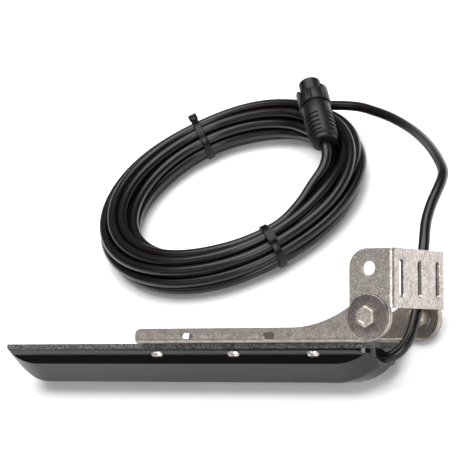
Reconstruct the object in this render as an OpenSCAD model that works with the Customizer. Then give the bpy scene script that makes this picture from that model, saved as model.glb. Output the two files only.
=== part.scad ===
// Transom-mount sonar transducer lying on one angled face, with its cable coiled on the same surface.
// Hull pieces are drawn upright (x along the hull, z up from the keel, x = 0 at the pivot) and then rolled.

/* [Hull] */
// Distance from the pivot back to the nose
nose_x = 261.5; // [240:0.5:280]
// Distance from the pivot back to the stern end of the hull at its rim
stern_x = 6; // [5:0.5:9]
// Height of the hull shell, keel to rim
hull_h = 19.8; // [18:0.2:22]
// Half width of the hull at its rim
rim_half = 21.8; // [20:0.1:22]
// Half width of the hull at the chine, where the angled face starts
chine_half = 20.5; // [19:0.1:21.5]
// Height of the chine above the keel
chine_z = 10.9; // [9:0.1:12]
// Angle of the angled faces, and so the roll at which the part lies
facet_angle = 43; // [40:0.5:46]
// Radius of the nose in side view
nose_r = 22.7; // [20:0.1:26]
// Radius of the stern in side view
stern_r = 44; // [42:0.5:50]
// Wall of the hull shell
hull_wall = 2.6; // [2:0.1:3.5]

/* [Top cover] */
// Thickness of the textured cover
cover_t = 3.2; // [2.5:0.1:4]
// Half width of the cover
cover_half = 22; // [21:0.1:23]
// Distance from the pivot back to the stern end of the cover
cover_stern_x = 6; // [3:0.5:7]

/* [Brackets] */
// Thickness of the bracket sheet
sheet = 2; // [1.5:0.1:2.5]
// Height of the pivot above the keel
pivot_z = 37.4; // [36:0.1:39]
// Half width of the transom bracket, outside
transom_half = 33; // [31:0.5:35]
// Distance from the pivot forward to the face that meets the transom
plate_x = 15.55; // [15:0.05:18]
// Height of the plate's lower edge above the pivot
plate_low = 4.8; // [4:0.1:7]
// Height of the plate's upper edge above the pivot
plate_high = 38.6; // [36:0.1:42]
// Radius of the ears about the pivot
ear_r = 13; // [12:0.1:13.2]
// Outside bend radius of both brackets
bend_r = 3; // [2.5:0.1:4]
// Length of the lower bracket behind the pivot
rail_back = 159; // [150:1:170]
// Height of the rails above the cover
rail_h = 8.85; // [7:0.05:10]

/* [Transom slots] */
// Spacing of the three screw slots
slot_pitch = 22.7; // [18:0.1:24]
// Width of a slot
slot_w = 5; // [4:0.1:6]
// Length of a slot, end to end
slot_len = 21.4; // [16:0.2:24]
// Diameter of the lock hole in each ear
lock_hole_d = 8; // [6:0.1:9]

/* [Pivot hardware] */
// Diameter of the pivot bolts
bolt_d = 6.35; // [5:0.05:8]
// Hex size across flats of bolt heads and nuts
hex_af = 11.1; // [10:0.1:13]
// Diameter of the wide outer washers
wide_washer_d = 25.4; // [24:0.1:26]
// Diameter of the inner washers
small_washer_d = 16; // [14:0.1:18.5]

/* [Cable] */
// Outside diameter of the cable
cable_d = 6.6; // [6:0.1:7]
// Radius of the coil at the middle of its turns
coil_r = 79.6; // [76:0.1:84]
// Radius of the bundle of turns
bundle_r = 13.5; // [12:0.1:14]

/* [Plug] */
// Length of the plug from its tail to its mating end
plug_len = 51.5; // [50:0.1:60]
// Diameter of the locking collar
collar_d = 21.2; // [20:0.1:24]
// Diameter of the moulded body
plug_body_d = 19.4; // [18:0.1:20]
// Diameter of the mating barrel
barrel_d = 14.4; // [12.5:0.1:15]

/* [Hidden] */
$fn = 64;
eps = 0.01;

// Hull section
keel_half = chine_half - chine_z / tan(facet_angle);
shoulder_z = 16.3;
shoulder_half = 19.6;
lip_z = 18.6;
nose_corner_r = 1.5;
stern_corner_r = 9;
keel_stern_x = 34;
facet_nose_x = 238;
facet_nose_r = 45.7;
facet_stern_x = 28.2;
facet_stern_r = 36.8;
cavity_nose_x = nose_x - 24;
cavity_stern_x = 40;
cavity_half = 17;
ledge_half = 11.2;
ledge_z = 12;
cover_z = hull_h + cover_t;

// Elements inside the hull
element_len = 176;
element_mid_x = -(cavity_nose_x + cavity_stern_x) / 2;
element_t = 3;
side_element_w = 8.5;
down_element_w = 11;
backing_t = 3;
side_backing_t = 2;
side_element_drop = 2;
facet_mid_y = (keel_half + chine_half) / 2;
facet_mid_z = chine_z / 2;

// Hull screws
screw_first_x = 43.2;
screw_pitch = 53.6;
screw_y = 18.2;
screw_d = 3.9;
screw_head_d = 9;
screw_head_h = 3.6;
screw_seat_z = 18.4;
screw_pocket_r = 5.2;
screw_pocket_z = 14.2;
screw_top_z = cover_z + sheet;

// Brackets
ear_gap = 0.15;
tilt_half = transom_half - sheet - ear_gap;
tilt_flat = tilt_half - bend_r;
transom_flat = transom_half - bend_r;
tilt_front = -7;
rail_top = cover_z + rail_h;
rail_corner_r = 4;
rise_r = 70;
rise_dz = pivot_z - rail_top;
rise_x = sqrt(pow(ear_r + rise_r, 2) - pow(rise_r - rise_dz, 2));
rail_slot_xs = [122.4, 66.5];
rail_slot_z = 27.2;
rail_slot_len = 7.9;
rail_slot_h = 3.6;
ear_back = 12.4;
ear_corner_r = 11;
pivot_bore_d = bolt_d + 0.15;
washer_bore_d = bolt_d + 0.4;
lock_hole_z = 64.7;
slot_mid_z = pivot_z + (plate_low + plate_high) / 2;

// Pivot hardware, positions along y from the middle
wide_washer_t = 1.5;
small_washer_t = 1.2;
bolt_head_h = 4;
nut_h = 6;
washer_y = transom_half + ear_gap;
head_y = washer_y + wide_washer_t;
inner_washer_y = tilt_half - sheet;
nut_y = inner_washer_y - small_washer_t;
bolt_end_y = nut_y - nut_h - 1;
hex_ac = hex_af / cos(30);

// Roll about x that lays one angled face on the ground, and the shift to the middle of the part
roll_top_y = transom_half * cos(facet_angle) + (pivot_z + plate_high) * sin(facet_angle);
roll_low_y = -head_y * cos(facet_angle) + (pivot_z - wide_washer_d / 2) * sin(facet_angle);
lie_shift = [(nose_x - plate_x) / 2, -(roll_top_y + roll_low_y) / 2, keel_half * sin(facet_angle)];

// Cable gland, along x through the stern
gland_z = 14.6;
gland_d = 9;
gland_from_x = -44;
gland_len = 22;
cable_hole_d = cable_d + 0.4;

// Cable from the gland up through the transom bracket, drawn upright
tail_points = [
    [-40, 0, 14.6], [-25, 0, 14.6], [-11, 0, 14.6], [-5, 0, 14.7], [0.5, 1.5, 17.4], [4.5, 4.5, 23],
    [6, 8.5, 30], [6, 13, 38], [5.5, 17, 46], [4.8, 21.5, 58], [4.5, 26.5, 76]
];
// Cable from the bracket across to the coil, drawn as it lies
lead_points = [
    [126.5, 44.8, 46.4], [123.8, 57.7, 49], [122.8, 71.4, 51.1], [122.9, 84.1, 52.2], [121.8, 95.2, 51.8],
    [117.7, 106.5, 49.9], [106.1, 124.7, 45.4], [89.9, 146.8, 38.7], [71.5, 168.8, 31.5], [54, 186.6, 26],
    [36.7, 200.7, 22.8], [21.7, 209.7, 21.6], [8, 215.8, 21.5], [-6.1, 218.3, 21.9],
    [-33, 222, 22], [-45, 225, 22]
];
// Cable from the coil up into the plug, drawn as it lies
plug_lead_points = [
    [-0.5, 100, 19.5], [6, 113, 24], [10.5, 127, 27.5], [14.2, 138.5, 30.2], [13.9, 149, 32.6]
];
tube_sides = 10;
tube_step = 0.34;

// Coil and ties, on the ground
coil_mid = [-60, 138, 15];
tie_angles = [129.5, -45.4];
tie_w = 4.8;
tie_t = 1.3;
tie_gap = 0.06;
tie_head = [7.5, 6, 5];

// Plug, lying over the coil
plug_tail = [10.1, 158.3, 36];
plug_azimuth = 117.5;
plug_polar = 70;
plug_tail_d = 16.8;
plug_tail_len = 3.2;
plug_neck_d = 16.8;
collar_fit = 0.1;
collar_z = 31;
collar_len = 9.5;
collar_gap = 0.3;
lug_w = 14;
lug_h = 3;
lug_t = 2;
grip_count = 8;
grip_steps = [0, 1, 3, 4, 5, 7];
grip_w = 1.6;
grip_depth = 0.8;
grip_z = 2;
rib_count = 5;
rib_z = 4.7;
rib_pitch = 3.5;
rib_w = 1.4;
rib_depth = 0.9;
barrel_wall = 1.5;
socket_depth = 8.5;
insert_t = 3.5;
contact_count = 8;
contact_d = 1.2;
contact_ring_r = 3.2;
seal_z = 41.8;
seal_r = 0.9;

// Points along a smooth curve through a list of points
function at(p, i) = p[max(0, min(len(p) - 1, i))];
function blend4(a, b, c, d, t) =
    b + 0.5 * t * (c - a + t * (2 * a - 5 * b + 4 * c - d + t * (3 * (b - c) + d - a)));
function smooth_route(p) = concat(
    [for (i = [0:len(p) - 2]) for (t = [0:tube_step:0.99])
        blend4(at(p, i - 1), p[i], p[i + 1], at(p, i + 2), t)],
    [p[len(p) - 1]]
);
function unit(v) = v / norm(v);
function heading(p, i) = unit(at(p, i + 1) - at(p, i - 1));
// Side direction carried along the route without twist
function side_of(u, s) = unit(s - u * (u * s));
function sides_along(p, i = 0, s = [0, 1, 0], done = []) =
    i == len(p) ? done :
    let (next = side_of(heading(p, i), s))
    sides_along(p, i + 1, next, concat(done, [next]));
function rolled(v) = [
    v[0] + lie_shift[0],
    v[1] * cos(facet_angle) + v[2] * sin(facet_angle) + lie_shift[1],
    -v[1] * sin(facet_angle) + v[2] * cos(facet_angle) + lie_shift[2]
];

// Places an upright piece as it lies on its angled face
module lie() {
    translate(lie_shift) rotate([-facet_angle, 0, 0]) children();
}

// Places a piece drawn along z on the axis of the plug
module on_plug() {
    translate(plug_tail) rotate([0, plug_polar, plug_azimuth]) children();
}

// Draws a profile in x and z across the whole width
module across(half) {
    rotate([90, 0, 0]) linear_extrude(2 * half, center = true) children();
}

// Extrudes a section in y and z along x from x0 to x1
module along(x0, x1) {
    translate([x0, 0, 0]) rotate([90, 0, 90]) linear_extrude(x1 - x0) children();
}

// Cylinder along y from y0 to y1
module bar_y(d, y0, y1, sides = 0) {
    translate([0, y0, 0]) rotate([-90, 30, 0]) cylinder(d = d, h = y1 - y0, $fn = sides > 0 ? sides : $fn);
}

// What a round corner takes off a square one: the corner is at the origin, the shape towards +x and +y
module corner_waste(r) {
    difference() {
        translate([-1, -1]) square(r + 1);
        translate([r, r]) circle(r);
    }
}

// Rectangle from x0, y0 to x1, y1 with its corners cut: r at the -x end, q at the +x end
module plan_shape(x0, x1, half, r, q) {
    difference() {
        translate([x0, -half]) square([x1 - x0, 2 * half]);
        for (m = [0, 1]) mirror([0, m]) {
            translate([x0, -half]) corner_waste(r);
            translate([x1, -half]) mirror([1, 0]) corner_waste(q);
        }
    }
}

// Slot with round ends, long in x and cut along z
module slot_cut(l, w, depth) {
    for (d = [-1, 1]) translate([d * (l - w) / 2, 0, 0]) cylinder(d = w, h = depth, center = true);
    cube([l - w, w, depth], center = true);
}

// Tube of the cable's size swept along a route
module cable_tube(route) {
    s = sides_along(route);
    n = len(route);
    rings = [for (i = [0:n - 1]) let (u = heading(route, i), w = cross(u, s[i])) for (k = [0:tube_sides - 1])
        route[i] + cable_d / 2 * (cos(360 * k / tube_sides) * s[i] + sin(360 * k / tube_sides) * w)];
    walls = [for (i = [0:n - 2]) for (k = [0:tube_sides - 1]) let (q = (k + 1) % tube_sides)
        [i * tube_sides + k, (i + 1) * tube_sides + k, (i + 1) * tube_sides + q, i * tube_sides + q]];
    ends = [
        [for (k = [0:tube_sides - 1]) k],
        [for (k = [tube_sides - 1:-1:0]) (n - 1) * tube_sides + k]
    ];
    polyhedron(rings, concat(walls, ends));
}

// Outline that is the same on both sides, from the points of one half
module both_sides(half) {
    polygon(concat(half, [for (i = [len(half) - 1:-1:0]) [-half[i][0], half[i][1]]]));
}

// Section of the hull, from the keel out and up, before the angled faces are cut
module hull_section() {
    both_sides([
        [chine_half, 0], [chine_half, chine_z], [shoulder_half, shoulder_z],
        [rim_half, lip_z], [rim_half, hull_h]
    ]);
}

// Rectangle from x0 to x1 and up to h, with its lower corners round: r at the -x end, q at the +x end
module boat_side(x0, x1, r, q, h) {
    difference() {
        translate([x0, 0]) square([x1 - x0, h]);
        translate([x0, 0]) corner_waste(r);
        translate([x1, 0]) mirror([1, 0]) corner_waste(q);
    }
}

// Everything above the angled face of the +y side, which sweeps up at the nose and the stern
module above_facet() {
    translate([0, keel_half, 0]) rotate([facet_angle, 0, 0]) across(4 * rim_half)
        boat_side(-facet_nose_x - facet_nose_r, -facet_stern_x + facet_stern_r, facet_nose_r, facet_stern_r,
            4 * rim_half);
}

// Space inside the hull for the elements
module hull_cavity() {
    low = keel_half - hull_wall * tan(facet_angle / 2);
    wide_z = hull_wall + (cavity_half - low) * tan(facet_angle);
    half = [[low, hull_wall], [cavity_half, wide_z], [cavity_half, ledge_z], [ledge_half, ledge_z],
        [ledge_half, hull_h + 1]];
    along(-cavity_nose_x, -cavity_stern_x) both_sides(half);
}

module at_screws() {
    for (m = [0, 1]) mirror([0, m, 0])
        for (i = [0:2]) translate([-screw_first_x - i * screw_pitch, screw_y, 0]) children();
}

module hull_shell() {
    color("#17181a") lie() difference() {
        intersection() {
            along(-nose_x, -stern_x) hull_section();
            across(rim_half + 1) boat_side(-nose_x, stern_r - keel_stern_x, nose_r, stern_r, hull_h);
            linear_extrude(hull_h) plan_shape(-nose_x, -stern_x, rim_half, nose_corner_r, stern_corner_r);
            above_facet();
            mirror([0, 1, 0]) above_facet();
        }
        hull_cavity();
        translate([gland_from_x, 0, gland_z]) rotate([0, 90, 0]) {
            cylinder(d = gland_d, h = gland_len);
            cylinder(d = cable_hole_d, h = -gland_from_x);
        }
        at_screws() {
            translate([0, 0, screw_pocket_z]) cylinder(r = screw_pocket_r, h = screw_seat_z - screw_pocket_z);
            translate([0, 0, screw_pocket_z]) cylinder(d = screw_d, h = hull_h);
        }
    }
}

module top_cover() {
    color("#3a3b3c") lie() difference() {
        translate([0, 0, hull_h]) linear_extrude(cover_t)
            plan_shape(-nose_x, -cover_stern_x, cover_half, nose_corner_r, stern_corner_r);
        at_screws() cylinder(d = screw_d, h = 2 * hull_h);
    }
}

// Bar laid against the inside of an angled face; lift is its distance from the outer face
module against_facet(w, t, lift) {
    translate([element_mid_x, facet_mid_y, facet_mid_z]) rotate([facet_angle, 0, 0])
        translate([-element_len / 2, -w / 2 - side_element_drop, lift]) cube([element_len, w, t]);
}

module side_element() {
    color("#c8c0a8") against_facet(side_element_w, element_t, hull_wall);
}

module side_backing() {
    color("#4a4a4a") against_facet(side_element_w - 2, side_backing_t, hull_wall + element_t);
}

module port_element() { lie() side_element(); }

module starboard_element() { lie() mirror([0, 1, 0]) side_element(); }

module port_backing() { lie() side_backing(); }

module starboard_backing() { lie() mirror([0, 1, 0]) side_backing(); }

// Bar over the keel, between the side elements
module over_keel(w, t, z) {
    translate([element_mid_x - element_len / 2, -w / 2, z]) cube([element_len, w, t]);
}

module down_element() {
    color("#c8c0a8") lie() over_keel(down_element_w, element_t, hull_wall);
}

module down_backing() {
    color("#4a4a4a") lie() over_keel(down_element_w - 2, backing_t, hull_wall + element_t);
}

module cable_gland() {
    color("#202124") lie() translate([gland_from_x, 0, gland_z]) rotate([0, 90, 0]) difference() {
        cylinder(d = gland_d, h = gland_len);
        translate([0, 0, -1]) cylinder(d = cable_d, h = gland_len + 2);
    }
}

module hull_screws() {
    color("#d8d8d6") lie() at_screws() {
        translate([0, 0, screw_seat_z - screw_head_h]) cylinder(d = screw_head_d, h = screw_head_h);
        translate([0, 0, screw_seat_z - eps]) cylinder(d = screw_d, h = screw_top_z - screw_seat_z + eps);
    }
}

// Lower bracket in side view: rails, a hollow rise and the round ears
module tilt_side() {
    difference() {
        translate([-rail_back, cover_z]) square([rail_back + tilt_front, rail_h]);
        translate([-rail_back, rail_top]) mirror([0, 1]) corner_waste(rail_corner_r);
    }
    translate([0, pivot_z]) circle(ear_r);
    translate([-ear_r, cover_z]) square([ear_r + tilt_front, pivot_z - cover_z]);
    difference() {
        translate([-rise_x, rail_top - 1]) square([rise_x, pivot_z + ear_r / sqrt(2) - rail_top]);
        translate([-rise_x, rail_top + rise_r]) circle(rise_r, $fn = 180);
    }
}

// Channel section with round bends, open upwards
module channel_section() {
    top = pivot_z + ear_r + 1;
    difference() {
        translate([-tilt_half, cover_z]) square([2 * tilt_half, top - cover_z]);
        for (m = [0, 1]) mirror([m, 0]) translate([-tilt_half, cover_z]) corner_waste(bend_r);
        difference() {
            translate([-tilt_half + sheet, cover_z + sheet]) square([2 * (tilt_half - sheet), top]);
            for (m = [0, 1]) mirror([m, 0])
                translate([-tilt_half + sheet, cover_z + sheet]) corner_waste(bend_r - sheet);
        }
    }
}

// Keeps the part of a bent sheet that lies between two distances across
module between(y0, y1) {
    intersection() {
        children();
        translate([-nose_x, y0, 0]) cube([nose_x + 2 * plate_x, y1 - y0, 2 * (pivot_z + plate_high)]);
    }
}

module tilt_sheet() {
    color("#a9a7a2") difference() {
        intersection() {
            along(-rail_back, ear_r) channel_section();
            across(tilt_half + 1) tilt_side();
        }
        translate([0, 0, pivot_z]) bar_y(pivot_bore_d, -transom_half, transom_half);
        for (x = rail_slot_xs) translate([-x, 0, rail_slot_z]) rotate([90, 0, 0])
            slot_cut(rail_slot_len, rail_slot_h, 3 * transom_half);
        at_screws() cylinder(d = screw_d, h = 2 * hull_h);
    }
}

// Flat of the lower bracket, which ends behind the round of the ears
module tilt_base() {
    lie() intersection() {
        between(-tilt_flat, tilt_flat) tilt_sheet();
        translate([-rail_back, -tilt_half, 0]) cube([rail_back + tilt_front, 2 * tilt_half, pivot_z]);
    }
}

module near_tilt_rail() { lie() between(-transom_half, -tilt_flat) tilt_sheet(); }

module far_tilt_rail() { lie() between(tilt_flat, transom_half) tilt_sheet(); }

// Transom bracket in side view: ears with a round top corner and a round lower end about the pivot
module transom_side() {
    difference() {
        translate([-ear_back, pivot_z + plate_low]) square([ear_back + plate_x, plate_high - plate_low]);
        translate([-ear_back, pivot_z + plate_high]) mirror([0, 1]) corner_waste(ear_corner_r);
    }
    translate([0, pivot_z]) circle(ear_r);
    translate([-ear_back, pivot_z]) square([2 * ear_back, plate_low + 1]);
}

// Plan of the bent sheet: a plate with an ear at each side
module transom_plan() {
    back = -ear_r - 1;
    difference() {
        translate([back, -transom_half]) square([plate_x - back, 2 * transom_half]);
        for (m = [0, 1]) mirror([0, m]) translate([plate_x, -transom_half]) mirror([1, 0]) corner_waste(bend_r);
        difference() {
            translate([back - 1, -transom_half + sheet])
                square([plate_x - back + 1 - sheet, 2 * (transom_half - sheet)]);
            for (m = [0, 1]) mirror([0, m])
                translate([plate_x - sheet, -transom_half + sheet]) mirror([1, 0]) corner_waste(bend_r - sheet);
        }
    }
}

module transom_sheet() {
    color("#b8b6b0") difference() {
        intersection() {
            translate([0, 0, pivot_z - ear_r - 1]) linear_extrude(plate_high + ear_r + 2) transom_plan();
            across(transom_half + 1) transom_side();
        }
        translate([0, 0, pivot_z]) bar_y(pivot_bore_d, -2 * transom_half, 2 * transom_half);
        translate([0, 0, lock_hole_z]) bar_y(lock_hole_d, -2 * transom_half, 2 * transom_half);
        for (i = [-1:1]) translate([plate_x, i * slot_pitch, slot_mid_z]) rotate([0, 90, 0])
            slot_cut(slot_len, slot_w, 4 * sheet);
    }
}

module transom_plate() { lie() between(-transom_flat, transom_flat) transom_sheet(); }

module near_transom_ear() { lie() between(-2 * transom_half, -transom_flat) transom_sheet(); }

module far_transom_ear() { lie() between(transom_flat, 2 * transom_half) transom_sheet(); }

// Washer on the pivot, outwards from y0
module pivot_washer(d, y0, t) {
    translate([0, 0, pivot_z]) difference() {
        bar_y(d, y0, y0 + t);
        bar_y(washer_bore_d, y0 - 1, y0 + t + 1);
    }
}

module pivot_bolt() {
    color("#c9c8c4") translate([0, 0, pivot_z]) {
        bar_y(hex_ac, head_y, head_y + bolt_head_h, 6);
        bar_y(bolt_d, bolt_end_y, head_y + eps);
    }
}

module lock_nut() {
    color("#c0bfbb") translate([0, 0, pivot_z]) difference() {
        bar_y(hex_ac, nut_y - nut_h, nut_y, 6);
        bar_y(bolt_d, nut_y - nut_h - 1, nut_y + 1);
    }
}

module outer_washer() { color("#cfcecb") pivot_washer(wide_washer_d, washer_y, wide_washer_t); }

module inner_washer() { color("#bcbbb7") pivot_washer(small_washer_d, nut_y, small_washer_t); }

module near_pivot_bolt() { lie() mirror([0, 1, 0]) pivot_bolt(); }

module far_pivot_bolt() { lie() pivot_bolt(); }

module near_outer_washer() { lie() mirror([0, 1, 0]) outer_washer(); }

module far_outer_washer() { lie() outer_washer(); }

module near_inner_washer() { lie() mirror([0, 1, 0]) inner_washer(); }

module far_inner_washer() { lie() inner_washer(); }

module near_lock_nut() { lie() mirror([0, 1, 0]) lock_nut(); }

module far_lock_nut() { lie() lock_nut(); }

module cable_lead() {
    color("#1b1b1d") cable_tube(smooth_route(concat([for (p = tail_points) rolled(p)], lead_points)));
}

module cable_coil() {
    color("#1b1b1d") translate(coil_mid) rotate_extrude($fn = 96) translate([coil_r, 0]) circle(bundle_r);
}

module plug_lead() {
    color("#1b1b1d") cable_tube(smooth_route(concat(plug_lead_points, [plug_tail])));
}

// Cable tie round the bundle at one angle of the coil, with its head on the outside
module cable_tie(angle) {
    inner = bundle_r + tie_gap;
    color("#101012") translate(coil_mid) rotate([0, 0, angle]) translate([coil_r, 0, 0]) rotate([90, 0, 0]) {
        difference() {
            cylinder(r = inner + tie_t, h = tie_w, center = true);
            cylinder(r = inner, h = tie_w + 2, center = true);
        }
        rotate([0, 0, 55]) translate([inner + tie_t - 0.5, -tie_head[0] / 2, -tie_head[1] / 2])
            cube([tie_head[2], tie_head[0], tie_head[1]]);
    }
}

module upper_tie() { cable_tie(tie_angles[0]); }

module lower_tie() { cable_tie(tie_angles[1]); }

// Moulded body of the plug: tail ring, ribbed grip, neck under the collar and the mating barrel
module plug_body() {
    color("#1e1f21") on_plug() difference() {
        union() {
            cylinder(d = plug_tail_d, h = rib_z);
            translate([0, 0, plug_tail_len])
                cylinder(d = plug_body_d, h = collar_z - collar_gap - plug_tail_len);
            cylinder(d = plug_neck_d, h = collar_z + collar_len);
            cylinder(d = barrel_d, h = plug_len);
        }
        for (i = [0:rib_count - 1]) translate([0, 0, rib_z + i * rib_pitch]) difference() {
            cylinder(d = plug_body_d + 2, h = rib_w);
            translate([0, 0, -1]) cylinder(d = plug_body_d - 2 * rib_depth, h = rib_w + 2);
        }
        translate([0, 0, plug_len - socket_depth])
            cylinder(d = barrel_d - 2 * barrel_wall, h = socket_depth + 1);
        rotate_extrude() translate([barrel_d / 2, seal_z]) circle(seal_r);
    }
}

// Locking collar with grip grooves and two lugs at its front, turning on the neck
module plug_collar() {
    color("#232427") on_plug() translate([0, 0, collar_z]) difference() {
        union() {
            cylinder(d = collar_d, h = collar_len);
            intersection() {
                cylinder(d = collar_d, h = collar_len + lug_h);
                translate([-lug_w / 2, -collar_d, 0]) cube([lug_w, 2 * collar_d, 2 * collar_len]);
            }
        }
        translate([0, 0, -1]) cylinder(d = plug_neck_d + 2 * collar_fit, h = collar_len + 1);
        translate([0, 0, collar_len - eps]) cylinder(d = collar_d - 2 * lug_t, h = lug_h + 1);
        for (i = grip_steps) rotate([0, 0, 360 * i / grip_count])
            translate([collar_d / 2 - grip_depth, -grip_w / 2, grip_z])
                cube([2 * grip_depth, grip_w, collar_len + lug_h]);
    }
}

module plug_seal() {
    color("#2c2c2e") on_plug() rotate_extrude() translate([barrel_d / 2, seal_z]) circle(seal_r);
}

module plug_insert() {
    color("#30302f") on_plug() translate([0, 0, plug_len - socket_depth]) difference() {
        cylinder(d = barrel_d - 2 * barrel_wall, h = insert_t);
        at_contacts() translate([0, 0, -1]) cylinder(d = contact_d, h = insert_t + 2);
    }
}

module at_contacts() {
    for (i = [0:contact_count - 1]) rotate([0, 0, 360 * i / contact_count]) translate([contact_ring_r, 0, 0])
        children();
    children();
}

module plug_contacts() {
    color("#c9a85a") on_plug() translate([0, 0, plug_len - socket_depth]) at_contacts()
        cylinder(d = contact_d, h = socket_depth - 2);
}

hull_shell();
top_cover();
port_element();
starboard_element();
down_element();
port_backing();
starboard_backing();
down_backing();
cable_gland();
hull_screws();
tilt_base();
near_tilt_rail();
far_tilt_rail();
transom_plate();
near_transom_ear();
far_transom_ear();
near_pivot_bolt();
far_pivot_bolt();
near_outer_washer();
far_outer_washer();
near_inner_washer();
far_inner_washer();
near_lock_nut();
far_lock_nut();
cable_lead();
cable_coil();
plug_lead();
upper_tie();
lower_tie();
plug_body();
plug_collar();
plug_seal();
plug_insert();
plug_contacts();
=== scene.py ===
"""Looks of the transom-mount sonar transducer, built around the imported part."""
import math

import bmesh
import bpy
from mathutils import Matrix, Vector


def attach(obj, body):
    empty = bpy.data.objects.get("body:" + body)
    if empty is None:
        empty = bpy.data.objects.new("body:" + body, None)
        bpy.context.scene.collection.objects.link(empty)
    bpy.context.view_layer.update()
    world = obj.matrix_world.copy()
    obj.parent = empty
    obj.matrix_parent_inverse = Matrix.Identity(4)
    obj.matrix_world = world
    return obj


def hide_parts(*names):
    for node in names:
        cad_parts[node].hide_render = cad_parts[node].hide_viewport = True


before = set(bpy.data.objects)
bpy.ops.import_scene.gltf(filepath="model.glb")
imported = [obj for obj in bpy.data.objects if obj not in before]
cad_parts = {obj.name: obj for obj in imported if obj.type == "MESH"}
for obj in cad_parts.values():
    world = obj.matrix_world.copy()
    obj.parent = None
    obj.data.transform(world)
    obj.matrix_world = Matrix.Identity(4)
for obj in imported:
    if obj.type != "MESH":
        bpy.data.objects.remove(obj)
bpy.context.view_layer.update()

# Sizes in mm, as in the construction; hull pieces are drawn upright and then rolled onto one angled face
ROLL = math.radians(43)
LIE = Matrix.Scale(0.001, 4) @ Matrix.Translation((122.975, -33.7353, 6.0092)) @ Matrix.Rotation(-ROLL, 4, "X")
ROW = Matrix.Scale(0.001, 4)
PLUG_TAIL = Vector((10.1, 158.3, 36.0))
ON_PLUG = (ROW @ Matrix.Translation(PLUG_TAIL) @ Matrix.Rotation(math.radians(117.5), 4, "Z")
           @ Matrix.Rotation(math.radians(70), 4, "Y"))
NOSE, STERN = -261.5, -6.0
NOSE_CORNER, STERN_CORNER = 1.5, 9.0
NOSE_R, STERN_R, KEEL_STERN = 22.7, 44.0, -34.0
FACET_NOSE, FACET_NOSE_R = -238.0, 45.7
FACET_STERN, FACET_STERN_R = -28.2, 36.8
KEEL_HALF, CHINE_HALF, CHINE_Z = 8.811, 20.5, 10.9
NECK_HALF, NECK_Z = 19.6, 16.3
RIM_HALF, RIM_Z, HULL_H = 21.8, 18.6, 19.8
COVER_HALF, COVER_T, COVER_EDGE = 22.0, 3.2, 0.45
SCREW_XS, SCREW_Y = (-43.2, -96.8, -150.4), 18.2
PIVOT_Z, EAR_R, PIVOT_HOLE_R = 37.4, 13.0, 3.25
SHEET, BEND = 2.0, 2.0
BEND_ARC = BEND * math.pi / 2
HEX_ACROSS = 11.1
CABLE_D = 6.6
COIL_MID, COIL_R = Vector((-60.0, 138.0, 15.0)), 79.6
TIE_ANGLES = (129.5, -45.4)


# Materials
def srgb(code):
    """Linear colour of an sRGB hex code."""
    parts = [int(code[i:i + 2], 16) / 255 for i in (1, 3, 5)]
    return [p / 12.92 if p <= 0.04045 else ((p + 0.055) / 1.055) ** 2.4 for p in parts] + [1.0]


def add(mat, kind, links=(), **sockets):
    """Adds a shader node: socket values by name, then links as (from socket, own socket)."""
    node = mat.node_tree.nodes.new(kind)
    for name, value in sockets.items():
        name = name.replace("_", " ")
        if name in node.inputs:
            node.inputs[name].default_value = value
        else:
            setattr(node, name.replace(" ", "_"), value)
    for source, name in links:
        mat.node_tree.links.new(source, node.inputs[name])
    return node


def material(name):
    """New material with its principled shader and its object coordinates in metres."""
    mat = bpy.data.materials.new(name)
    mat.use_nodes = True
    return mat, mat.node_tree.nodes["Principled BSDF"], add(mat, "ShaderNodeTexCoord").outputs["Object"]


def link(mat, source, shader, socket):
    mat.node_tree.links.new(source, shader.inputs[socket])


def ramp(mat, fac, stops):
    node = add(mat, "ShaderNodeValToRGB", [(fac, "Fac")])
    for i, (at, code) in enumerate(stops):
        point = node.color_ramp.elements[i] if i < 2 else node.color_ramp.elements.new(at)
        point.position = at
        point.color = srgb(code)
    return node.outputs["Color"]


def plain(name, code, roughness, metallic=0.0, grain=None, depth=0.0, light=None, specular=0.5):
    """Plain finish with an optional fine grain: size in mm, depth in mm and the colour of its raised grains."""
    mat, shader, coords = material(name)
    shader.inputs["Base Color"].default_value = srgb(code)
    shader.inputs["Roughness"].default_value = roughness
    shader.inputs["Metallic"].default_value = metallic
    shader.inputs["Specular IOR Level"].default_value = specular
    if grain:
        noise = add(mat, "ShaderNodeTexNoise", [(coords, "Vector")], Scale=1000 / grain, Detail=2.0)
        bump = add(mat, "ShaderNodeBump", [(noise.outputs["Fac"], "Height")], Strength=1.0,
                   Distance=depth / 1000)
        link(mat, bump.outputs["Normal"], shader, "Normal")
        rough = add(mat, "ShaderNodeMapRange", [(noise.outputs["Fac"], "Value")], From_Min=0.3, From_Max=0.7,
                    To_Min=roughness * 1.15, To_Max=roughness * 0.85)
        link(mat, rough.outputs["Result"], shader, "Roughness")
        if light:
            link(mat, ramp(mat, noise.outputs["Fac"], [(0.4, code), (0.62, light)]), shader, "Base Color")
    return mat


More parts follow.
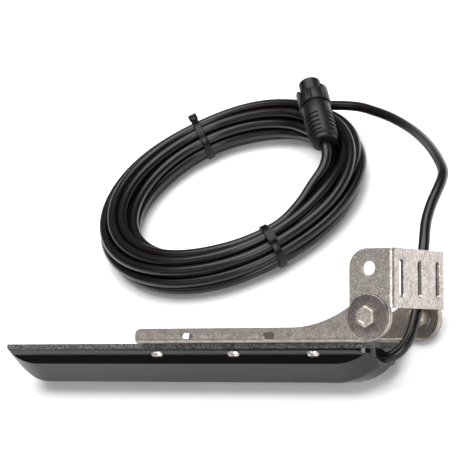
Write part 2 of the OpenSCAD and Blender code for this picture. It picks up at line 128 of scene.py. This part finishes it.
def stainless(name, dark, light, roughness, relief):
    """Mill finish steel: shallow dents and scuffs that break up its reflections, as on handled metal."""
    mat, shader, coords = material(name)
    cloud = add(mat, "ShaderNodeTexNoise", [(coords, "Vector")], Scale=1000 / 4.0, Detail=5.0, Roughness=0.65)
    speck = add(mat, "ShaderNodeTexNoise", [(coords, "Vector")], Scale=1000 / 1.0, Detail=3.0)
    both = add(mat, "ShaderNodeMix", [(cloud.outputs["Fac"], "A"), (speck.outputs["Fac"], "B")], Factor=0.55)
    link(mat, ramp(mat, both.outputs["Result"], [(0.38, dark), (0.62, light)]), shader, "Base Color")
    rough = add(mat, "ShaderNodeMapRange", [(both.outputs["Result"], "Value")], From_Min=0.35, From_Max=0.65,
                To_Min=roughness + 0.08, To_Max=roughness - 0.05)
    link(mat, rough.outputs["Result"], shader, "Roughness")
    bump = add(mat, "ShaderNodeBump", [(both.outputs["Result"], "Height")], Strength=1.0,
               Distance=relief / 1000)
    link(mat, bump.outputs["Normal"], shader, "Normal")
    shader.inputs["Metallic"].default_value = 1.0
    return mat


# Gloss black moulding: a clean mirror-like skin that shows the white table in its lower face
HULL_PLASTIC = plain("gloss black plastic", "#060607", 0.14, grain=7.0, depth=0.004, specular=0.42)
# Grained cover: a coarse spark-eroded texture that scatters light and looks grey against the hull
COVER_PLASTIC = plain("grained black plastic", "#151515", 0.62, grain=1.15, depth=0.3, light="#5c5a5a")
# Sheet and fasteners: the transom bracket is more handled and the rails are finer; bolts are brighter than
# the washers, and the screws are lightened to near white as a painted highlight
BRACKET_STEEL = stainless("mill finish stainless sheet", "#868079", "#b9b2ac", 0.3, 0.3)
RAIL_STEEL = stainless("fine mill finish stainless sheet", "#7c756f", "#a39c95", 0.38, 0.12)
BOLT_STEEL = stainless("bright stainless fastener", "#928a83", "#c2bab1", 0.4, 0.14)
# Screw colour lightened to near white, beyond the other stainless: a painted highlight on the screw heads
SCREW_STEEL_PAINTED_HIGHLIGHT = stainless("stainless screw lightened as painted highlight", "#a79f97", "#f2ebe2", 0.3, 0.1)
WASHER_STEEL = stainless("tumbled stainless washer", "#5f5955", "#847d79", 0.36, 0.1)
# Cable jacket: satin extruded black with a very fine matte skin and long soft highlights
JACKET = plain("satin black cable jacket", "#0a0706", 0.29, grain=0.25, depth=0.005, specular=0.34)
# Ties: smooth moulded nylon, with a duller gloss than the cable
NYLON = plain("black nylon tie", "#060505", 0.28, grain=0.6, depth=0.01, specular=0.2)
# Plug: spark-eroded moulding, drawn a little coarser than it is so that its dull skin shows
PLUG_PLASTIC = plain("satin black plug moulding", "#0b0a09", 0.42, grain=0.3, depth=0.03, specular=0.28)
# Ring seal: matte moulded rubber
SEAL = plain("black seal rubber", "#141416", 0.6, grain=0.4, depth=0.015)
# Elements: pale, dry, faintly speckled ceramic
CERAMIC = plain("fired ceramic", "#c4bba0", 0.55, grain=0.8, depth=0.02, light="#d6ceb6")
# Backing: dark foam with open cut cells
FOAM = plain("closed cell foam", "#2c2c2c", 0.9, grain=0.7, depth=0.15, light="#474747")
# Contact carrier: fine matte moulding, with plated contacts that show drawing marks
INSERT = plain("black contact carrier", "#202022", 0.5, grain=0.3, depth=0.01)
GOLD = plain("plated contact", "#cfa653", 0.25, metallic=1.0, grain=0.5, depth=0.004, light="#dfbb6d")


# Shape helpers: all take and give mm, and place() turns them into an object in metres
def place(name, bm, matrix, mat, nodes, body="transducer", sharp=35):
    """Makes the object, shades it smooth up to the sharp angle, and hangs it on its body."""
    bmesh.ops.remove_doubles(bm, verts=bm.verts, dist=0.002)
    bmesh.ops.recalc_face_normals(bm, faces=bm.faces)
    bm.transform(matrix)
    mesh = bpy.data.meshes.new(name)
    bm.to_mesh(mesh)
    bm.free()
    mesh.shade_smooth()
    mesh.set_sharp_from_angle(angle=math.radians(sharp))
    mesh.materials.append(mat)
    obj = bpy.data.objects.new(name, mesh)
    bpy.context.scene.collection.objects.link(obj)
    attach(obj, body)
    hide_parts(*nodes)
    return obj


def join(bm, part, matrix=Matrix()):
    """Adds another shape to bm, moved by the matrix."""
    part.transform(matrix)
    mesh = bpy.data.meshes.new("part")
    part.to_mesh(mesh)
    part.free()
    bm.from_mesh(mesh)
    bpy.data.meshes.remove(mesh)


def lathe(profile, steps=64):
    """Shape turned about z from a profile of (radius, height)."""
    bm = bmesh.new()
    verts = [bm.verts.new((r, 0, z)) for r, z in profile]
    edges = [bm.edges.new(pair) for pair in zip(verts, verts[1:])]
    bmesh.ops.spin(bm, geom=verts + edges, cent=(0, 0, 0), axis=(0, 0, 1), angle=math.tau, steps=steps,
                   use_merge=True)
    return bm


def rounded(corners, steps=6):
    """Closed outline with round corners from (x, y, radius)."""
    out = []
    n = len(corners)
    for i, (x, y, r) in enumerate(corners):
        p = Vector((x, y))
        if not r:
            out.append(p)
            continue
        a = (Vector(corners[i - 1][:2]) - p).normalized()
        b = (Vector(corners[(i + 1) % n][:2]) - p).normalized()
        half = a.angle(b) / 2
        mid = p + (a + b).normalized() * (r / math.sin(half))
        start = p + a * (r / math.tan(half)) - mid
        end = p + b * (r / math.tan(half)) - mid
        turn = start.angle_signed(end)
        for k in range(steps + 1):
            out.append(mid + Matrix.Rotation(-turn * k / steps, 2) @ start)
    return out


def arc(cx, cy, r, a0, a1, steps):
    """Points on an arc from angle a0 to a1."""
    return [Vector((cx + r * math.cos(math.radians(a0 + (a1 - a0) * k / steps)),
                    cy + r * math.sin(math.radians(a0 + (a1 - a0) * k / steps)))) for k in range(steps + 1)]


def circle(cx, cy, r, steps=32):
    return arc(cx, cy, r, 0, 360 - 360 / steps, steps - 1)


def slot_loop(cx, cy, length, width, upright):
    """Outline of a slot with round ends."""
    d = (length - width) / 2
    loop = arc(d, 0, width / 2, -90, 90, 10) + arc(-d, 0, width / 2, 90, 270, 10)
    return [Vector((cx - p.y, cy + p.x)) if upright else Vector((cx + p.x, cy + p.y)) for p in loop]


def blank(outline, holes, thick, edge=0.25):
    """Flat sheet in x and y with holes, centred on z = 0, with lightly broken edges."""
    bm = bmesh.new()
    edges = []
    for loop in [outline] + holes:
        verts = [bm.verts.new((p.x, p.y, -thick / 2)) for p in loop]
        edges += [bm.edges.new(pair) for pair in zip(verts, verts[1:] + verts[:1])]
    bmesh.ops.triangle_fill(bm, use_beauty=True, use_dissolve=False, edges=edges)
    top = bmesh.ops.extrude_face_region(bm, geom=bm.faces[:])
    bmesh.ops.translate(bm, vec=(0, 0, thick),
                        verts=[g for g in top["geom"] if isinstance(g, bmesh.types.BMVert)])
    bmesh.ops.recalc_face_normals(bm, faces=bm.faces)
    rims = [e for e in bm.edges if len(e.link_faces) == 2 and e.calc_face_angle() > 1.4
            and abs(e.verts[0].co.z - e.verts[1].co.z) < 1e-6]
    bmesh.ops.bevel(bm, geom=rims, offset=edge, affect="EDGES", segments=2, profile=0.5, material=-1)
    return bm


def fold(bm, flat, put):
    """Folds both sides of a blank up: x runs across the bends, put places (across, rise, along)."""
    bend_end = flat + BEND_ARC
    for side in (-1, 1):
        for k in range(9):
            at = side * (flat + (bend_end - flat) * k / 8)
            bmesh.ops.bisect_plane(bm, geom=bm.verts[:] + bm.edges[:] + bm.faces[:], plane_co=(at, 0, 0),
                                   plane_no=(1, 0, 0), dist=1e-5)
    for v in bm.verts:
        u, along, w = v.co
        side = 1 if u > 0 else -1
        u = abs(u)
        if u <= flat:
            across, rise = u, w
        elif u < bend_end:
            turn = (u - flat) / BEND
            across, rise = flat + (BEND - w) * math.sin(turn), BEND - (BEND - w) * math.cos(turn)
        else:
            across, rise = flat + BEND - w, BEND + u - bend_end
        v.co = put(side * across, rise, along)


# Camera: looks down on the lying part, turned until the hull is level
cam = bpy.data.cameras.new("camera")
cam.sensor_width = 36.0
cam.lens = 179.53
cam.clip_end = 20.0
camera = bpy.data.objects.new("camera", cam)
back = Vector((0.52163, -0.66181, 0.53844)).normalized()
up = Vector((0.03008, 0.64497, 0.76361))
right = up.cross(back).normalized()
up = back.cross(right)
view = Matrix((right, up, back)).transposed().to_4x4()
camera.matrix_world = Matrix.Translation((0.72513, -0.87730, 0.81010)) @ view
bpy.context.scene.collection.objects.link(camera)
bpy.context.scene.camera = camera


# Cable: from the stern up through the bracket, down to the ground, round the coil and up into the plug
def smooth(points, step):
    """Points along a smooth curve through a list, about step mm apart."""
    out = []
    for i in range(len(points) - 1):
        a, b = points[max(i - 1, 0)], points[i]
        c, d = points[i + 1], points[min(i + 2, len(points) - 1)]
        n = max(2, round((c - b).length / step))
        for k in range(n):
            t = k / n
            out.append(b + 0.5 * t * (c - a + t * (2 * a - 5 * b + 4 * c - d + t * (3 * (b - c) + d - a))))
    return out + [points[-1]]


# The first lead as far as the bracket is in the hull's own frame, the rest as it lies
TAIL = [(-40, 0, 14.6), (-25, 0, 14.6), (-11, 0, 14.6), (-5, 0, 14.7), (0.5, 1.5, 17.4), (4.5, 4.5, 23),
        (6, 8.5, 30), (6, 13, 38), (5.5, 17, 46), (4.8, 21.5, 58), (4.5, 26.5, 76)]
LEAD = [(126.5, 44.8, 46.4), (123.8, 57.7, 49), (122.8, 71.4, 51.1), (122.9, 84.1, 52.2), (121.8, 95.2, 51.8),
        (117.7, 106.5, 49.9), (106.1, 124.7, 45.4), (89.9, 146.8, 38.7), (71.5, 168.8, 31.5), (54, 186.6, 26),
        (36.7, 200.7, 22.8), (21.7, 209.7, 21.6), (8, 215.8, 21.5), (-6.1, 218.3, 21.9)]
PLUG_LEAD = [(6, 113, 24), (10.5, 127, 27.5), (14.2, 138.5, 30.2), (13.9, 149, 32.6)]
POINT_STEP = 4
TURNS = 11
# Angles at which the first lead joins the coil and the plug's lead leaves it
JOIN, LEAVE = 72.0, -35.0
COIL_STEPS = 1000
# Place of each turn in the bundle: radius in cable diameters and angle
PLACES = [(1.52, 40), (1.52, 80), (0.52, 0), (1.52, 0), (1.52, -40), (1.52, -80), (0.52, 180), (1.52, -120),
          (1.52, 200), (1.52, 160), (1.52, 120)]


def coil_point(angle):
    """Point of the coil at an angle: a turn keeps its place in the bundle and eases over to the next."""
    turn = int((angle - JOIN) // 360)
    ease = min(1, max(0, ((angle - JOIN) % 360 - 270) / 90))
    ease = ease * ease * (3 - 2 * ease) if turn < TURNS - 1 else 0
    spots = [Vector((r * math.cos(math.radians(a)), r * math.sin(math.radians(a)))) * CABLE_D
             for r, a in PLACES[turn:turn + 2]]
    spot = spots[0].lerp(spots[-1], ease)
    # Away from the ties the bundle is looser and its turns wander
    tied = max(math.exp(-((angle - a + 180) % 360 - 180) ** 2 / 500) for a in TIE_ANGLES)
    wave = math.radians(angle * 2 + turn * 137)
    spot *= 1.09 - 0.09 * tied
    spot += Vector((math.cos(wave), 0.5 * math.sin(wave * 1.5))) * 0.6 * (1 - tied)
    around, r = math.radians(angle), COIL_R + spot.x
    return COIL_MID + Vector((r * math.cos(around), r * math.sin(around), spot.y))


sweep = 360 * TURNS + LEAVE - JOIN
coil = [coil_point(JOIN + sweep * k / COIL_STEPS) for k in range(COIL_STEPS + 1)]
route = [LIE @ Vector(p) * 1000 for p in TAIL] + [Vector(p) for p in LEAD]
# The curve of each lead takes in the first or last few points of the coil, so that they join without a kink
route = smooth(route + coil[:10:3], POINT_STEP)[:-1] + coil[9:]
route = route[:-7] + smooth(coil[-7::3] + [Vector(p) for p in PLUG_LEAD] + [PLUG_TAIL], POINT_STEP)
line = bpy.data.curves.new("cable", "CURVE")
line.dimensions = "3D"
line.bevel_depth = CABLE_D / 2000
line.bevel_resolution = 5
line.use_fill_caps = True
spline = line.splines.new("POLY")
spline.points.add(len(route) - 1)
for point, p in zip(spline.points, route):
    point.co = (p.x / 1000, p.y / 1000, p.z / 1000, 1)
spline.use_smooth = True
line.materials.append(JACKET)
cable = bpy.data.objects.new("cable", line)
bpy.context.scene.collection.objects.link(cable)
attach(cable, "transducer")
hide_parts("cable_lead", "cable_coil", "plug_lead")


# Cable ties: a strap round the bundle with its head and a cut tail
def tie(name, angle):
    turn = (Matrix.Translation(COIL_MID) @ Matrix.Rotation(math.radians(angle), 4, "Z")
            @ Matrix.Translation((COIL_R, 0, 0)))
    inner, outer, half = 13.5, 14.8, 2.4
    strap = rounded([(inner, -half, 0.3), (outer, -half, 0.4), (outer, half, 0.4), (inner, half, 0.3)], 3)
    bm = lathe([(p.x, p.y) for p in strap + strap[:1]], 72)
    bm.transform(Matrix.Rotation(math.pi / 2, 4, "X"))
    # Head and cut tail: angle on the strap, distance from the bundle's middle and size out, across and along
    for at, out, size in ((55, 16.3, (4.4, 6.0, 7.2)), (28, 15.4, (1.3, 4.4, 5.0))):
        block = bmesh.new()
        bmesh.ops.create_cube(block, size=1.0)
        bmesh.ops.bevel(block, geom=block.edges[:], offset=0.12, affect="EDGES", segments=2, profile=0.5,
                        material=-1)
        join(bm, block, Matrix.Rotation(-math.radians(at), 4, "Y") @ Matrix.Translation((out, 0, 0))
             @ Matrix.Diagonal((*size, 1)))
    return place(name, bm, ROW @ turn, NYLON, nodes=(name,))


ties = [tie("upper_tie", TIE_ANGLES[0]), tie("lower_tie", TIE_ANGLES[1])]


# Plug: ribbed grip with a smooth pad, collar with two lugs and grip grooves, mating barrel with its contacts
PAD_ANGLE, PAD_HALF, PAD_R = 208.0, 20.0, 9.85
GRIP_R, GROOVES, GROOVE_FIRST, GROOVE_PITCH = 9.7, 5, 4.7, 3.5
GRIP_Z = (4.0, 21.0)
PLUG_STEPS = 96


def plug_body():
    profile = [(3.2, 0), (7.4, 0), (8.2, 0.5), (8.4, 2.9), (9.2, 3.3), (GRIP_R, 3.8)]
    for i in range(GROOVES):
        z = GROOVE_FIRST + GROOVE_PITCH * i
        profile += [(GRIP_R, z - 0.15), (9.4, z), (8.9, z + 0.15), (8.8, z + 0.7), (8.9, z + 1.25),
                    (9.4, z + 1.4), (GRIP_R, z + 1.55)]
    # Front of the grip, the collar's seat, the barrel with the seal's groove, and the socket
    profile += [(GRIP_R, 30.2), (9.4, 30.7), (8.4, 30.7), (8.4, 40.3), (8.2, 40.5), (7.2, 40.5), (7.2, 40.9),
                (6.6, 41.2), (6.3, 41.8), (6.6, 42.4), (7.2, 42.7), (7.2, 51.0), (6.7, 51.5), (5.7, 51.5),
                (5.7, 43.0), (0, 43.0)]
    bm = lathe(profile, PLUG_STEPS)
    # The pad fills the grooves in a strip along one side
    for v in bm.verts:
        away = (math.degrees(math.atan2(v.co.y, v.co.x)) - PAD_ANGLE + 180) % 360 - 180
        r = math.hypot(v.co.x, v.co.y)
        if GRIP_Z[0] < v.co.z < GRIP_Z[1] and abs(away) < PAD_HALF and r > 8:
            v.co.x *= PAD_R / r
            v.co.y *= PAD_R / r
    return place("plug_body", bm, ON_PLUG, PLUG_PLASTIC, nodes=("plug_body",))


def plug_collar():
    groove_depth, lug_height = 0.8, 3
    rows = [(8.5, 31.2), (10.0, 31.2), (10.4, 31.6), (10.6, 33.0), (10.6, 40.0), (10.3, 40.5), (8.6, 40.5),
            (8.5, 40.4)]
    bm = lathe(rows + rows[:1], PLUG_STEPS)
    for v in bm.verts:
        a = math.degrees(math.atan2(v.co.y, v.co.x))
        r = math.hypot(v.co.x, v.co.y)
        # Grip grooves every 45 degrees, apart from the middle of the two lugs
        if r > 9.5 and v.co.z > 32.8 and abs((a + 22.5) % 45 - 22.5) < 4 and abs(abs(a) - 90) > 10:
            v.co.x *= (r - groove_depth) / r
            v.co.y *= (r - groove_depth) / r
        if v.co.z > 39.9 and r > 8.55 and abs(abs(a) - 90) < 41:
            v.co.z += lug_height
    return place("plug_collar", bm, ON_PLUG, PLUG_PLASTIC, body="plug_collar", nodes=("plug_collar",))


plug_pieces = [plug_body(), plug_collar()]


# Hull: sections along x; the keel and the angled faces sweep up in arcs at the nose and the stern
SIDE = [(CHINE_HALF, 0), (CHINE_HALF, CHINE_Z), (NECK_HALF, NECK_Z), (RIM_HALF, RIM_Z), (RIM_HALF, HULL_H)]


def side_width(z):
    """Half width of the hull's side at a height, before the angled face is cut."""
    for (y0, z0), (y1, z1) in zip(SIDE, SIDE[1:]):
        if z <= z1:
            return y0 + (y1 - y0) * (z - z0) / (z1 - z0)
    return SIDE[-1][0]


def swept(x, nose, nose_r, stern, stern_r):
    """Rise at x of a line that is straight between nose and stern and turns up in arcs outside them."""
    away, r = (nose - x, nose_r) if x < nose else (x - stern, stern_r)
    return r - math.sqrt(max(0, r * r - max(0, away) ** 2))


def plan_width(x, half):
    """Half width in plan, with small corners at the nose and wide ones at the stern."""
    if x < NOSE + NOSE_CORNER:
        return half - NOSE_CORNER + math.sqrt(max(0, NOSE_CORNER ** 2 - (NOSE + NOSE_CORNER - x) ** 2))
    if x > STERN - STERN_CORNER:
        return half - STERN_CORNER + math.sqrt(max(0, STERN_CORNER ** 2 - (x - STERN + STERN_CORNER) ** 2))
    return half


def hull():
    bm = bmesh.new()
    ends = [1 - math.cos(math.pi / 2 * k / 32) for k in range(33)]
    # Sections are close together at the nose, at the stern and where the shoulder runs out
    xs = [NOSE + 0.2 + 25 * k for k in ends] + [-232 + 12 * k for k in range(16)]
    xs += [STERN - 0.02 - 33 * k for k in ends] + [-12.9 + 0.25 * k for k in range(17)]
    rings = []
    for x in sorted(xs):
        low = min(HULL_H, swept(x, NOSE + NOSE_R, NOSE_R, KEEL_STERN, STERN_R))
        rise = swept(x, FACET_NOSE, FACET_NOSE_R, FACET_STERN, FACET_STERN_R) / math.cos(ROLL)
        wide = plan_width(x, RIM_HALF)
        facet = lambda z: KEEL_HALF + (z - rise) / math.tan(ROLL)
        # Height at which the angled face meets the side
        chine, top = low, HULL_H
        for _ in range(30):
            mid = (chine + top) / 2
            chine, top = (mid, top) if facet(mid) < min(side_width(mid), wide) else (chine, mid)
        # The edge between keel and angled face is crisp in the middle and rounder at the ends
        soft = min(0.8 + 0.9 * rise + 0.5 * low, 14, 1.6 * (chine - low))
        edge = facet(low) - soft * math.tan(ROLL / 2)
        turns = [ROLL * k / 8 for k in range(9)]
        side = [(edge + soft * math.sin(t), low + soft * (1 - math.cos(t))) for t in turns]
        start = side[-1][1]
        heights = [start + (chine - start) * t for t in (0.25, 0.5, 0.75, 0.94, 1)]
        # The shoulder ends where it meets the rim, which comes in round the stern's corners
        rim = NECK_Z + (RIM_Z - NECK_Z) * min(1, max(0, (wide - NECK_HALF) / (RIM_HALF - NECK_HALF)))
        heights += [max(z, chine) for z in (11.5, 13.0, 14.8, 16.0, NECK_Z, 0.8 * NECK_Z + 0.2 * rim,
                                            0.2 * NECK_Z + 0.8 * rim, rim, 18.9, HULL_H)]
        side += [(min(facet(z), side_width(z)), z) for z in heights]
        side = [(max(0, min(y, wide)), z) for y, z in side]
        loop = [(-y, z) for y, z in reversed(side)] + side
        rings.append([bm.verts.new((x, y, z)) for y, z in loop])
    for a, b in zip(rings, rings[1:]):
        for k in range(len(a)):
            q = (k + 1) % len(a)
            bm.faces.new((a[k], b[k], b[q], a[q]))
    bm.faces.new(rings[0])
    bm.faces.new(rings[-1])
    bmesh.ops.dissolve_degenerate(bm, dist=0.003, edges=bm.edges)
    return place("hull_shell", bm, LIE, HULL_PLASTIC, nodes=("hull_shell",), sharp=24)


def cover():
    outline = []
    for k in range(65):
        x = NOSE + 0.02 + (STERN - NOSE - 0.04) * (0.5 - 0.5 * math.cos(math.pi * k / 64))
        outline.append(Vector((x, plan_width(x, COVER_HALF))))
    outline += [Vector((p.x, -p.y)) for p in reversed(outline)]
    bm = blank(outline, [], COVER_T, COVER_EDGE)
    return place("top_cover", bm, LIE @ Matrix.Translation((0, 0, HULL_H + COVER_T / 2)), COVER_PLASTIC,
                 nodes=("top_cover",), sharp=20)


hull()
cover()


# Lower bracket: one blank with rails, a hollow rise and round ears, folded up on both sides
def tilt_bracket():
    flat, base_z, low, top = 27.85, 24, 26, 31.85
    back, front, corner_r, hollow_r = -159, -7, 4, 70
    window_z, window_len, window_w, window_xs = 27.2, 7.9, 3.6, (-122.4, -66.5)
    screw_hole_r = 2.1
    # The hollow rise is an arc that touches the rail's top edge and the round ear
    rise = PIVOT_Z - top
    start = math.sqrt((EAR_R + hollow_r) ** 2 - (hollow_r - rise) ** 2)
    tangent = math.degrees(math.atan2(-(hollow_r - rise), start))
    side = [Vector((back, low)), Vector((back, top - corner_r))]
    side += arc(back + corner_r, top - corner_r, corner_r, 180, 90, 8)[1:]
    side += arc(-start, top + hollow_r, hollow_r, -90, tangent, 20)
    side += arc(0, PIVOT_Z, EAR_R, 180 + tangent, -122.58, 48)[1:] + [Vector((front, low))]
    across = lambda z, s: s * (flat + BEND_ARC + z - low)
    out = lambda p, s: Vector((across(p.y, s), p.x))
    outline = [out(p, 1) for p in side] + [out(p, -1) for p in reversed(side)]
    holes = []
    for s in (-1, 1):
        holes.append(circle(across(PIVOT_Z, s), 0, PIVOT_HOLE_R))
        holes += [slot_loop(across(window_z, s), x, window_len, window_w, True) for x in window_xs]
        holes += [circle(s * SCREW_Y, x, screw_hole_r, 20) for x in SCREW_XS]
    bm = blank(outline, holes, SHEET)
    fold(bm, flat, lambda a, r, along: (along, a, base_z + r))
    return place("tilt_bracket", bm, LIE, RAIL_STEEL, nodes=("tilt_base", "near_tilt_rail", "far_tilt_rail"),
                 sharp=20)


# Transom bracket: slotted plate with an ear folded back at each side
def transom_bracket():
    flat, plate_x, ear_x = 30.0, 14.55, 12.55
    low, top, back, corner_r = 42.2, 76, -12.4, 11
    slot_z, slot_len, slot_w, slot_ys = 59.1, 21.4, 5, (-22.7, 0, 22.7)
    lock_z, lock_r = 64.7, 4
    side = [Vector((ear_x, top)), Vector((back + corner_r, top))]
    side += arc(back + corner_r, top - corner_r, corner_r, 90, 180, 12)[1:] + [Vector((back, 42))]
    side += arc(0, PIVOT_Z, EAR_R, 162.5, 377.5, 60) + [Vector((-back, low)), Vector((ear_x, low))]
    out = lambda p, s: Vector((s * (flat + BEND_ARC + ear_x - p.x), p.y))
    outline = [out(p, 1) for p in side] + [out(p, -1) for p in reversed(side)]
    holes = [slot_loop(y, slot_z, slot_len, slot_w, True) for y in slot_ys]
    for s in (-1, 1):
        u = s * (flat + BEND_ARC + ear_x)
        holes += [circle(u, PIVOT_Z, PIVOT_HOLE_R), circle(u, lock_z, lock_r)]
    bm = blank(outline, holes, SHEET)
    fold(bm, flat, lambda a, r, along: (plate_x - r, a, along))
    return place("transom_bracket", bm, LIE, BRACKET_STEEL, body="transom_bracket",
                 nodes=("transom_plate", "near_transom_ear", "far_transom_ear"), sharp=20)


tilt_bracket()
transom_bracket()


# Pivot hardware on both sides
def hex_prism(across, z0, z1, chamfer, dish=0.0):
    """Hexagon along z with a broken upper rim and, for a bolt head, a shallow dish in its face."""
    bm = bmesh.new()
    r = across / math.sqrt(3)
    bmesh.ops.create_cone(bm, cap_ends=True, segments=6, radius1=r, radius2=r, depth=z1 - z0,
                          matrix=Matrix.Translation((0, 0, (z0 + z1) / 2)))
    rim = [e for e in bm.edges if all(v.co.z > z1 - 1e-4 for v in e.verts)]
    bmesh.ops.bevel(bm, geom=rim, offset=chamfer, affect="EDGES", segments=3, profile=0.5, material=-1)
    if dish:
        face = max(bm.faces, key=lambda f: f.calc_center_median().z)
        bmesh.ops.inset_individual(bm, faces=[face], thickness=across * 0.11)
        bmesh.ops.inset_individual(bm, faces=[face], thickness=across * 0.06, depth=-dish)
    return bm


def pivot_set(side, sign):
    """Bolt, washers and lock nut of one side, drawn along z from the middle of the bracket outwards."""
    head_z, head_top, thread_end = 34.65, 38.65, 20.65
    nut_z, nut_top, crown_top = 27.65, 22.9, 21.65
    out = LIE @ Matrix.Translation((0, 0, PIVOT_Z)) @ Matrix.Rotation(-sign * math.pi / 2, 4, "X")
    bm = hex_prism(HEX_ACROSS, head_z, head_top, 0.8, dish=0.7)
    thread = [(3.15 - 0.35 * (k % 2), 30 - k * 0.5) for k in range(18)]
    join(bm, lathe([(3.15, head_z + 0.05)] + thread + [(0, thread_end)], 32))
    place(f"{side}_pivot_bolt", bm, out, BOLT_STEEL, nodes=(f"{side}_pivot_bolt",))
    for name, r, bore, z0, z1 in (("outer_washer", 12.7, 3.4, 33.15, head_z),
                                  ("inner_washer", 8.0, 3.4, nut_z, 28.85)):
        ring = rounded([(bore, z0, 0.15), (r, z0, 0.4), (r, z1, 0.4), (bore, z1, 0.15)], 3)
        bm = lathe([(p.x, p.y) for p in ring + ring[:1]], 72)
        place(f"{side}_{name}", bm, out, WASHER_STEEL, nodes=(f"{side}_{name}",))
    # The nut's crown faces inwards, so it is drawn upside down and turned over
    bm = hex_prism(HEX_ACROSS, -nut_z, -nut_top, 0.5)
    join(bm, lathe([(5.1, -nut_top), (5.0, -22.0), (4.3, -crown_top), (3.2, -crown_top), (3.2, -24)], 32))
    place(f"{side}_lock_nut", bm, out @ Matrix.Rotation(math.pi, 4, "X"), BOLT_STEEL,
          nodes=(f"{side}_lock_nut",))


pivot_set("near", -1)
pivot_set("far", 1)


# Hull screws: pan heads facing down under the rim, with a cross recess
def hull_screw():
    bm = lathe([(1.95, 25.0), (1.95, 18.4), (4.2, 18.4), (4.5, 18.0), (4.4, 16.6), (3.9, 15.5), (2.9, 14.95),
                (2.4, 14.87), (0.5, 16.6), (0, 16.6)], 32)
    # Between the wings of the cross the rim of the recess moves in
    for v in bm.verts:
        turn = math.degrees(math.atan2(v.co.y, v.co.x))
        if 2.3 < math.hypot(v.co.x, v.co.y) < 2.5 and abs((turn + 45) % 90 - 45) > 18:
            v.co = (v.co.x * 0.4, v.co.y * 0.4, 14.8)
    return bm


def hull_screws():
    bm = bmesh.new()
    for side in (-1, 1):
        for i, x in enumerate(SCREW_XS):
            spin = Matrix.Rotation(math.radians(25 + 40 * i), 4, "Z")
            join(bm, hull_screw(), Matrix.Translation((x, side * SCREW_Y, 0)) @ spin)
    return place("hull_screws", bm, LIE, SCREW_STEEL_PAINTED_HIGHLIGHT, nodes=("hull_screws",))


hull_screws()

# Pieces kept from the construction, with their own finish
for names, mat, slot in ((("port_element", "starboard_element", "down_element"), CERAMIC, "ceramic"),
                         (("port_backing", "starboard_backing", "down_backing"), FOAM, "foam"),
                         (("cable_gland",), JACKET, "gland_rubber"), (("plug_seal",), SEAL, "seal_rubber"),
                         (("plug_insert",), INSERT, "insert_plastic"),
                         (("plug_contacts",), GOLD, "gold_contact")):
    for name in names:
        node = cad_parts[name]
        node.data.materials.clear()
        node.data.materials.append(mat)

# White table and soft studio light
bm = bmesh.new()
bmesh.ops.create_grid(bm, x_segments=1, y_segments=1, size=6.0)
floor_mesh = bpy.data.meshes.new("table")
bm.to_mesh(floor_mesh)
bm.free()
floor = bpy.data.objects.new("table", floor_mesh)
floor_mesh.materials.append(plain("white table", "#f4f4f4", 0.9))
bpy.context.scene.collection.objects.link(floor)


def lamp(name, place_at, aim, size, power):
    """Soft rectangular lamp: place, aim and size in metres, power in watts."""
    light = bpy.data.lights.new(name, "AREA")
    light.shape = "RECTANGLE"
    light.size, light.size_y = size
    light.energy = power
    obj = bpy.data.objects.new(name, light)
    obj.location = place_at
    obj.rotation_euler = (Vector(aim) - Vector(place_at)).to_track_quat("-Z", "Y").to_euler()
    bpy.context.scene.collection.objects.link(obj)


lamp("overhead softbox", (0.15, 0.3, 1.9), (0, 0.1, 0), (2.4, 2.4), 88)
lamp("front softbox", (1.3, -1.5, 1.0), (0, 0, 0.03), (1.2, 0.9), 28)
lamp("left softbox", (-0.72, -1.56, 1.0), (0, 0, 0.03), (1.8, 0.4), 7)
world = bpy.data.worlds.new("studio")
bpy.context.scene.world = world
world.use_nodes = True
world.node_tree.nodes["Background"].inputs["Color"].default_value = (1, 1, 1, 1)
world.node_tree.nodes["Background"].inputs["Strength"].default_value = 0.12
bpy.context.scene.view_settings.view_transform = "Standard"
